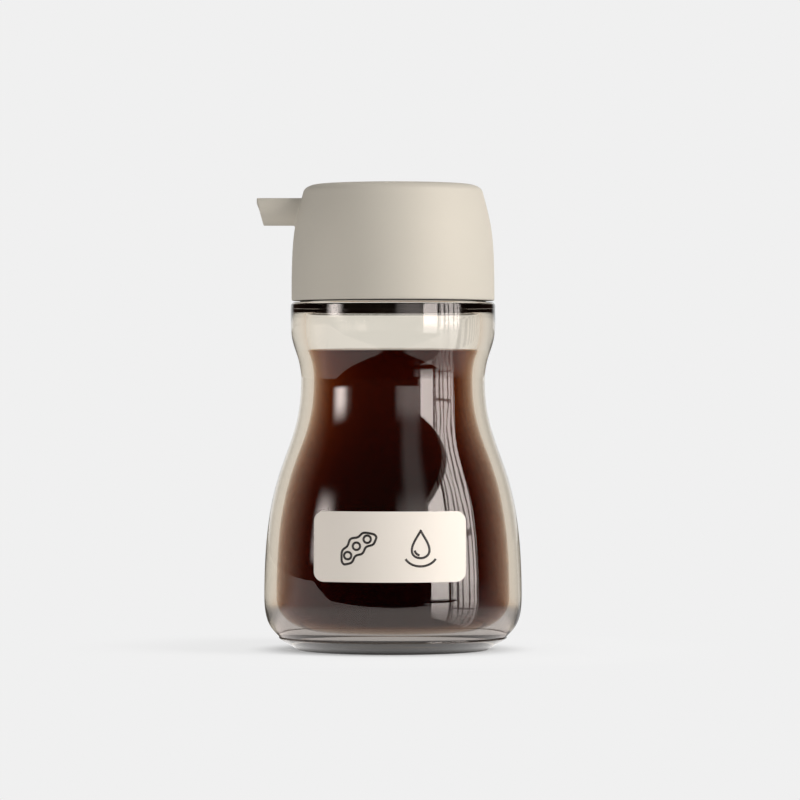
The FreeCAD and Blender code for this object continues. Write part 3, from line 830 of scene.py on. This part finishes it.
# The studio as glass and plastic show it. Azimuths and elevations are in degrees. Azimuth 0 is the
# camera's side and 90 is +X. A panel is given by its two azimuths, its two elevations and the
# softness of its sides, its foot and its head. The strip and the blinds have sloping heads: their
# elevations are counted from a line that rises by HEAD_SLOPE with the azimuth.
STRIP = (34.5, 51.0), (-60, 5.5), (0.8, 0.8, 0.8)
BLINDS = (53.5, 82.0), (-60, 5.5), (0.8, 0.8, 0.8)
RAIL = (55.0, 77.0), (8.0, 9.6), (0.6, 0.3, 0.3)
VEIL = (4.0, 33.0), (3, 20), (3.5, 0.6, 9.0)
HIGH_VEIL = (12.0, 33.0), (3, 70), (6.0, 0.6, 9.0)
SMALL_PANEL = (-76.0, -62.0), (3, 16), (6.0, 1.0, 8.0)
CURTAIN = (153, 174), (-90, 90), (3, 3, 3)
HEAD_SLOPE = 0.42
FOLD_SHADE = 0.22                        # how dark the curtain's folds and the blinds' rail are
RAIL_SHADE = 0.8
STRIP_LIGHT = 12.0
SLAT_GAP_LIGHT = 1.2
SLAT_LIGHT = 8.6
VEIL_LIGHT = 1.5
HIGH_VEIL_LIGHT = 0.7
SMALL_PANEL_LIGHT = 15.0
PANEL_TINT = (1.0, 0.90, 0.85)
THROUGH_GLASS = 0.12                     # share of the panels' light that shows through glass
ROOM_DARK = (0.045, 0.022, 0.016, 1.0)
FILL = (0.50, 0.50, 0.50, 1.0)           # even light on matte surfaces

# The floor as glass and plastic show it: a pale board with a front edge, then darkness.
FLOOR_HALF = 6.0
FLOOR_DROP = 0.02 * MM                   # how far it lies below the foot
BOARD = (1.0, 0.86, 0.80, 1.0)
BOARD_LIGHT = 1.32
BOARD_BEHIND = (0.16, 0.14, 0.12, 1.0)
BEYOND_BOARD = (0.008, 0.007, 0.007, 1.0)
# Painted shadow: in reflections the floor under the foot glows dark, in place of the shade there.
UNDER_FOOT_PAINTED_SHADOW = (0.2, 0.19, 0.18, 1.0)
ROUND_FOOT = (1.0, 0.97, 0.95, 1.0)
ROUND_FOOT_LIGHT = 1.25
NEAR_IN_GLASS = (0.42, 0.405, 0.40, 1.0)
POLISH_IOR = 2.0

KEY_PLACE = (0.85, -0.40, 0.50)
KEY_AIM = (0, 0, 60 * MM)
KEY_SIZE = (0.5, 0.6)
KEY_POWER = 8.2
KEY_TINT = (1.0, 0.992, 0.985)


def smooth(graph, value, low, high):
    """A soft step from 0 to 1 as a value goes from low to high."""
    node = graph.node("ShaderNodeMapRange", {"interpolation_type": "SMOOTHSTEP"},
                      {"Value": value, "From Min": low, "From Max": high})
    return graph.out(node)


def window(graph, azimuth, elevation, panel):
    """A panel far off: 1 between its two azimuths and between its two elevations, with edges that
    fade over its soft widths at its sides, its foot and its head."""
    sides, rise, (side, foot, head) = panel
    return (smooth(graph, azimuth, sides[0] - side, sides[0] + side)
            * smooth(graph, azimuth, sides[1] + side, sides[1] - side)
            * smooth(graph, elevation, rise[0] - foot, rise[0] + foot)
            * smooth(graph, elevation, rise[1] + head, rise[1] - head))


def stripes(graph, azimuth, pace, shift, low, high):
    """Upright stripes: the sine of the azimuth times a pace, plus a shift, as a soft step."""
    return smooth(graph, azimuth.maths("SINE", azimuth * pace + shift), low, high)


def backdrop_in_glass(graph, settings, back, dark):
    """The backdrop that clear glass shows: palest straight behind, where back is 1, then warmer
    aside, and dark beyond its sides, where back is 0."""
    warm = graph.mix(smooth(graph, back, 1.0, 0.45), rgba(settings.warm_backdrop),
                     rgba(settings.warm_edge))
    return graph.mix(smooth(graph, back, 0.0, 0.62), dark, warm)


def studio_world(settings):
    """The studio all round: the pale backdrop for the eye and behind the bottle in reflections and
    through glass, a dark room in front of it with lit panels to the right and a small one left.
    Noise that drifts slowly with height spaces the blinds' slats and the curtain's folds."""
    world = bpy.data.worlds.new("studio")
    bpy.context.scene.world = world
    graph = Graph(world)
    where = graph.out(graph.node("ShaderNodeTexCoord"), "Generated")
    split = graph.node("ShaderNodeSeparateXYZ", sockets={0: where})
    x, y, z = (graph.out(split, n) for n in range(3))
    azimuth = x.maths("ARCTAN2", x, 0 - y) * (180 / math.pi)
    elevation = z.maths("ARCSINE", z) * (180 / math.pi)
    path = graph.node("ShaderNodeLightPath")
    seen = graph.out(path, "Is Camera Ray")
    through = graph.out(path, "Is Transmission Ray")
    mirrored = seen.maths("MAXIMUM", graph.out(path, "Is Glossy Ray"), through)
    pale = rgba(settings.backdrop)
    upright = graph.node("ShaderNodeMapping", sockets={"Vector": where, "Scale": (1.0, 1.0, 0.05)})
    drift = graph.noise(9.0, detail=2.0, vector=graph.out(upright))

    folds = 1 - stripes(graph, azimuth, 2.3, 12.0 * drift, -0.7, 0.5)
    folds = folds * window(graph, azimuth, elevation, CURTAIN)
    in_glass = backdrop_in_glass(graph, settings, y, ROOM_DARK)
    in_glass = graph.mix(FOLD_SHADE * folds, in_glass, ROOM_DARK)
    reflected = graph.mix(smooth(graph, y, 0.84, 0.97), ROOM_DARK, pale)
    room = graph.mix(through, reflected, in_glass)

    slats = stripes(graph, azimuth, 1.15, 9.0 * drift, -0.9, -0.3)
    slope = elevation - HEAD_SLOPE * azimuth
    strip = window(graph, azimuth, slope, STRIP)
    blinds = window(graph, azimuth, slope, BLINDS)
    blinds = blinds * (1 - RAIL_SHADE * window(graph, azimuth, elevation, RAIL))
    veil = window(graph, azimuth, elevation, VEIL)
    high_veil = window(graph, azimuth, elevation, HIGH_VEIL)
    small = window(graph, azimuth, elevation, SMALL_PANEL)
    light = (strip * STRIP_LIGHT + blinds * (SLAT_GAP_LIGHT + SLAT_LIGHT * slats)
             + veil * VEIL_LIGHT + high_veil * HIGH_VEIL_LIGHT + small * SMALL_PANEL_LIGHT)
    light = light * (1 - (1 - THROUGH_GLASS) * through)
    red, green, blue = (light * part for part in PANEL_TINT)
    lit = graph.out(graph.node("ShaderNodeCombineColor", sockets={0: red, 1: green, 2: blue}))
    shown = graph.out(graph.node("ShaderNodeMix", {"data_type": "RGBA", "blend_type": "ADD"},
                                 {0: 1.0, 6: room, 7: lit}), 2)
    colours = graph.mix(seen, graph.mix(mirrored, FILL, shown), pale)
    background = graph.node("ShaderNodeBackground", sockets={"Color": colours, "Strength": 1.0})
    graph.finish(background, kind="ShaderNodeOutputWorld")


def floor_material(settings):
    """The floor: pale and lit near the bottle so that it keeps a soft shadow, fading into the
    plain backdrop further out. Reflections show a pale board, and darkness past its front edge,
    where the distance forward less a quarter of that aside passes a limit. On the right the board
    is polished and mirrors the panels, all but a dull ring. Round the foot it is bright."""
    material, graph = new_material("studio_floor")
    where = graph.out(graph.node("ShaderNodeTexCoord"), "Object")
    split = graph.node("ShaderNodeSeparateXYZ", sockets={0: where})
    x, y = graph.out(split, 0), graph.out(split, 1)
    distance = x.maths("SQRT", x * x + y * y)
    path = graph.node("ShaderNodeLightPath")
    mirrored = graph.out(path, "Is Glossy Ray")
    through = graph.out(path, "Is Transmission Ray")
    front = smooth(graph, 0 - y - 0.25 * x.maths("ABSOLUTE", x), 98 * MM, 104 * MM)
    far = smooth(graph, distance, 40 * MM, 80 * MM)

    def glow(shown, strength=1.0):
        return graph.node("ShaderNodeEmission", sockets={"Color": shown, "Strength": strength})

    def blend(factor, first, second):
        node = graph.node("ShaderNodeMixShader", sockets={0: factor})
        graph.tree.links.new(first.outputs[0], node.inputs[1])
        graph.tree.links.new(second.outputs[0], node.inputs[2])
        return node

    pale = rgba(settings.backdrop)
    lit = graph.node("ShaderNodeBsdfDiffuse", sockets={"Color": (0.85, 0.85, 0.85, 1.0)})
    lifted = 0.30 + 0.48 * smooth(graph, distance, 20 * MM, 34 * MM)
    seen = blend(far, blend(lifted, lit, glow(pale, 1.08)), glow(pale))

    backdrop = glow(backdrop_in_glass(graph, settings, y / distance, BEYOND_BOARD))
    in_glass = blend(far, blend(0.8, lit, glow(NEAR_IN_GLASS)), backdrop)
    in_glass = blend(front, in_glass, glow(BEYOND_BOARD))

    mirror = graph.node("ShaderNodeBsdfGlossy", sockets={"Color": (1.0, 1.0, 1.0, 1.0),
                                                         "Roughness": 0.0})
    dull = (front * smooth(graph, distance, 180 * MM, 210 * MM)
            * smooth(graph, distance, 330 * MM, 260 * MM))
    polish = graph.out(graph.node("ShaderNodeFresnel", sockets={"IOR": POLISH_IOR}))
    polish = polish * smooth(graph, x / distance, 0.40, 0.50) * (1 - dull)
    behind = smooth(graph, y / distance, 0.0, 0.35)
    board = blend(front, glow(BOARD, BOARD_LIGHT), glow(BEYOND_BOARD))
    board = blend(polish, blend(behind, board, glow(BOARD_BEHIND)), mirror)
    # Painted shadow: a dark glow inside the ring where the foot stands, with the bright floor round
    # it.
    under = blend(smooth(graph, distance, 21.0 * MM, 22.6 * MM), glow(UNDER_FOOT_PAINTED_SHADOW),
                  glow(ROUND_FOOT, ROUND_FOOT_LIGHT))
    board = blend(smooth(graph, distance, 24 * MM, 30 * MM), under, board)
    graph.finish(blend(mirrored, seen, blend(through, board, in_glass)))
    return material


def lamp(name, place, aim, size, power, tint):
    """A soft rectangular lamp that faces a point and shows in no view, reflection or glass."""
    data = bpy.data.lights.new(name, "AREA")
    data.shape = "RECTANGLE"
    data.size, data.size_y = size
    data.energy = power
    data.color = tint
    light = bpy.data.objects.new(name, data)
    bpy.context.scene.collection.objects.link(light)
    light.location = place
    light.rotation_euler = direction(place, aim)
    light.visible_camera = False
    light.visible_glossy = False
    light.visible_transmission = False


def direction(place, aim):
    """The turn that points something's own -Z at an aim, with its own Y up."""
    step = np.array(aim, float) - np.array(place, float)
    level = math.hypot(step[0], step[1])
    return (math.atan2(level, -step[2]), 0.0, math.atan2(-step[0], step[1]))


# ---------------------------------------------------------------- operators

class CRUET_OT_bottle(bpy.types.Operator):
    """Make the clear glass bottle"""

    bl_idname = "cruet.bottle"
    bl_label = "Bottle"

    def execute(self, context):
        sizes = context.scene.cruet_bottle
        new_piece("glass_bottle", *turned(bottle_outline(sizes)), clear_glass(sizes),
                  "clear_glass", "bottle")
        return {"FINISHED"}


class CRUET_OT_sauce(bpy.types.Operator):
    """Make the sauce inside the bottle"""

    bl_idname = "cruet.sauce"
    bl_label = "Sauce"

    def execute(self, context):
        sizes = context.scene.cruet_sauce
        outline = sauce_outline(context.scene.cruet_bottle, sizes)
        new_piece("sauce", *turned(outline), dark_sauce(sizes), "sauce", "soy_sauce")
        return {"FINISHED"}


class CRUET_OT_cap(bpy.types.Operator):
    """Make the plastic cap and its spout"""

    bl_idname = "cruet.cap"
    bl_label = "Cap"

    def execute(self, context):
        sizes = context.scene.cruet_cap
        plastic = cap_plastic(sizes)
        rings = cap_rings(sizes)
        cap = new_piece("cap_shell", *ringed(rings), plastic, "cap_plastic", "cap")
        bored(cap, *drill_surface(sizes))
        new_piece("cap_spout", *spout_surface(sizes, rings), plastic, "cap_plastic")
        return {"FINISHED"}


class CRUET_OT_label(bpy.types.Operator):
    """Make the label and the two marks printed on it"""

    bl_idname = "cruet.label"
    bl_label = "Label"

    def execute(self, context):
        bottle, label = context.scene.cruet_bottle, context.scene.cruet_label
        new_piece("label_skin", *label_surface(bottle, label), label_paper(label), "label_paper",
                  "label")
        ink = black_ink(label)
        middle = label.bottom + label.height / 2 - MARK_DROP
        left, right = -MARK_ASIDE, MARK_ASIDE
        shine, dish = (right, middle - 0.3 * MM), (right, middle - 1.2 * MM)
        strokes = {
            "mark_pod": (pod_path((left, middle), 9.4 * MM, 3.5 * MM, POD_LEAN), True),
            "mark_drop": (drop_path((right, middle + 0.8 * MM), 4.6 * MM, 6.0 * MM), True),
            "mark_drop_shine": (arc_path(shine, 1.3 * MM, 1.3 * MM, 190, 260), False),
            "mark_dish": (arc_path(dish, 3.6 * MM, 2.8 * MM, 205, 335), False),
        }
        cosine, sine = math.cos(math.radians(POD_LEAN)), math.sin(math.radians(POD_LEAN))
        for number, (along, up) in enumerate(BEAN_PLACES, start=1):
            place = (left + along * cosine - up * sine, middle + along * sine + up * cosine)
            ring = arc_path(place, BEAN_RADIUS, BEAN_RADIUS, 0, 360)[:-1]
            strokes[f"mark_bean_{number}"] = (ring, True)
        for name, (path, closed) in strokes.items():
            new_piece(name, *stroke_surface(bottle, label, path, closed), ink, "label_paper")
        return {"FINISHED"}


class CRUET_OT_stage(bpy.types.Operator):
    """Set up the floor, the light and the camera"""

    bl_idname = "cruet.stage"
    bl_label = "Stage"

    def execute(self, context):
        scene, settings = context.scene, context.scene.cruet_stage
        scene.view_settings.view_transform = "Standard"
        studio_world(settings)
        half, low = FLOOR_HALF, -FLOOR_DROP
        mesh = bpy.data.meshes.new("floor")
        mesh.from_pydata([(-half, -half, low), (half, -half, low), (half, half, low),
                          (-half, half, low)], [], [(0, 1, 2, 3)])
        mesh.materials.append(floor_material(settings))
        floor = bpy.data.objects.new("floor", mesh)
        scene.collection.objects.link(floor)
        lamp("key_lamp", KEY_PLACE, KEY_AIM, KEY_SIZE, KEY_POWER, KEY_TINT)
        camera_data = bpy.data.cameras.new("camera")
        camera_data.lens = settings.focal
        camera_data.sensor_width = 36.0
        camera_data.clip_start = 0.01
        camera = bpy.data.objects.new("camera", camera_data)
        scene.collection.objects.link(camera)
        place = (settings.aim_side, -settings.distance, settings.eye_height)
        camera.location = place
        camera.rotation_euler = direction(place, (settings.aim_side, 0.0, settings.aim_height))
        scene.camera = camera
        return {"FINISHED"}


class CRUET_PT_panel(bpy.types.Panel):
    """The cruet's sizes and the buttons that make its pieces"""

    bl_idname = "CRUET_PT_panel"
    bl_label = "Soy sauce cruet"
    bl_space_type = "VIEW_3D"
    bl_region_type = "UI"
    bl_category = "Cruet"

    def draw(self, context):
        for name, operator in zip(GROUPS, OPERATORS):
            box = self.layout.box()
            box.operator(operator.bl_idname)
            group = getattr(context.scene, name)
            for field in GROUPS[name].__annotations__:
                box.prop(group, field)


OPERATORS = (CRUET_OT_bottle, CRUET_OT_sauce, CRUET_OT_cap, CRUET_OT_label, CRUET_OT_stage)
CLASSES = (*GROUPS.values(), *OPERATORS, CRUET_PT_panel)


def register():
    for item in CLASSES:
        bpy.utils.register_class(item)
    for name, group in GROUPS.items():
        setattr(bpy.types.Scene, name, bpy.props.PointerProperty(type=group))


def unregister():
    for name in GROUPS:
        delattr(bpy.types.Scene, name)
    for item in reversed(CLASSES):
        bpy.utils.unregister_class(item)


def main():
    register()
    for operator in OPERATORS:
        area, name = operator.bl_idname.split(".")
        getattr(getattr(bpy.ops, area), name)()


if __name__ == "__main__":
    main()
